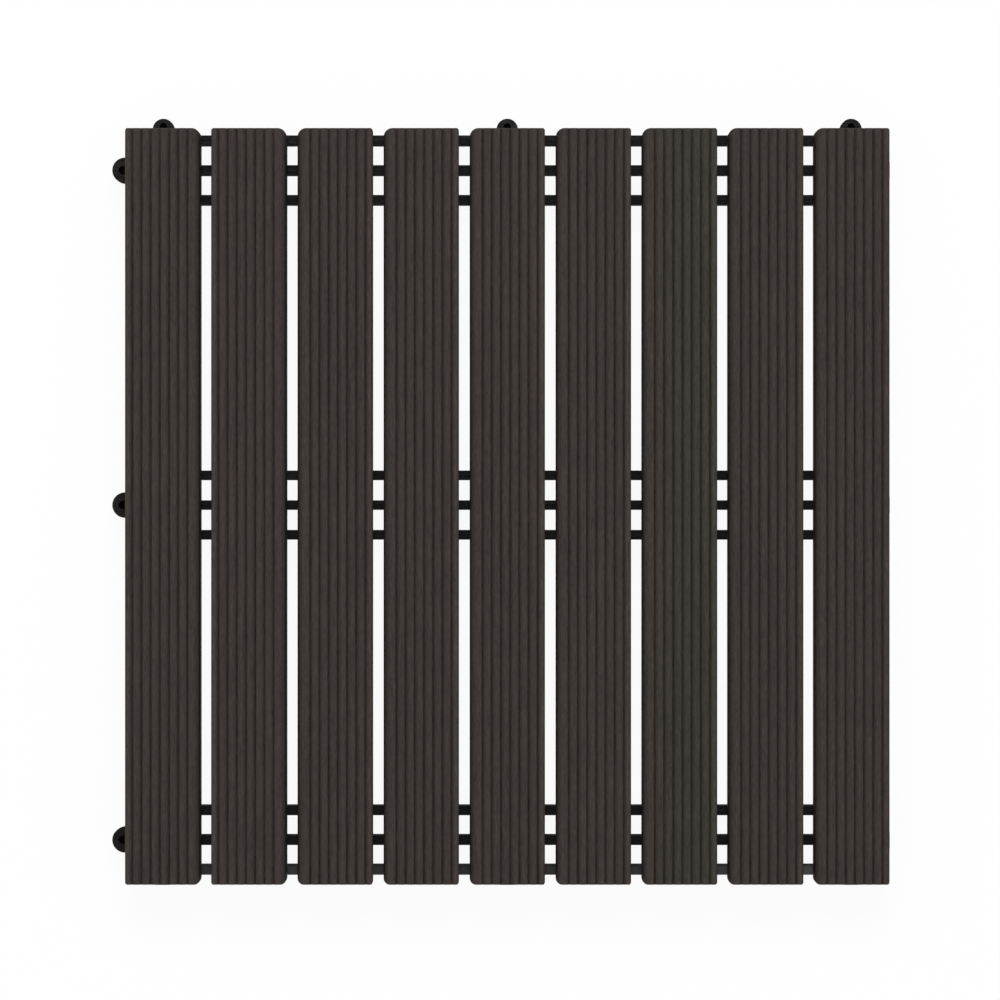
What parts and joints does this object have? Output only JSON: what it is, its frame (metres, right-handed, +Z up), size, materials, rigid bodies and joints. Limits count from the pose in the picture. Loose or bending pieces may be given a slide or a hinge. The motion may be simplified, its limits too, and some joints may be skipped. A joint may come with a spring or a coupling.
{
  "type": "interlocking deck tile",
  "caption": "Square outdoor deck tile of reeded composite slats screwed onto moulded rails, with sockets on two edges and pegs under the other two that join it to its neighbours.",
  "frame": {"origin": "at the centre of the middle rail's underside", "axes": "+X across the slats, away from the side sockets; +Y along the slats, towards the end sockets; +Z up"},
  "size_m": [0.3057, 0.3013, 0.024],
  "materials": {
    "composite": "dark grey-brown wood-plastic composite, reeded and brushed, matt",
    "base_plastic": "black moulded polypropylene, fine matt texture",
    "screw_steel": "plain stainless steel"
  },
  "bodies": {
    "root": {"slat_1": "composite", "slat_2": "composite", "slat_3": "composite", "slat_4": "composite", "slat_5": "composite", "slat_6": "composite", "slat_7": "composite", "slat_8": "composite", "slat_9": "composite", "rail_rear": "base_plastic", "rail_middle": "base_plastic", "rail_front": "base_plastic", "slat_screws": "screw_steel"}
  },
  "joints": []
}
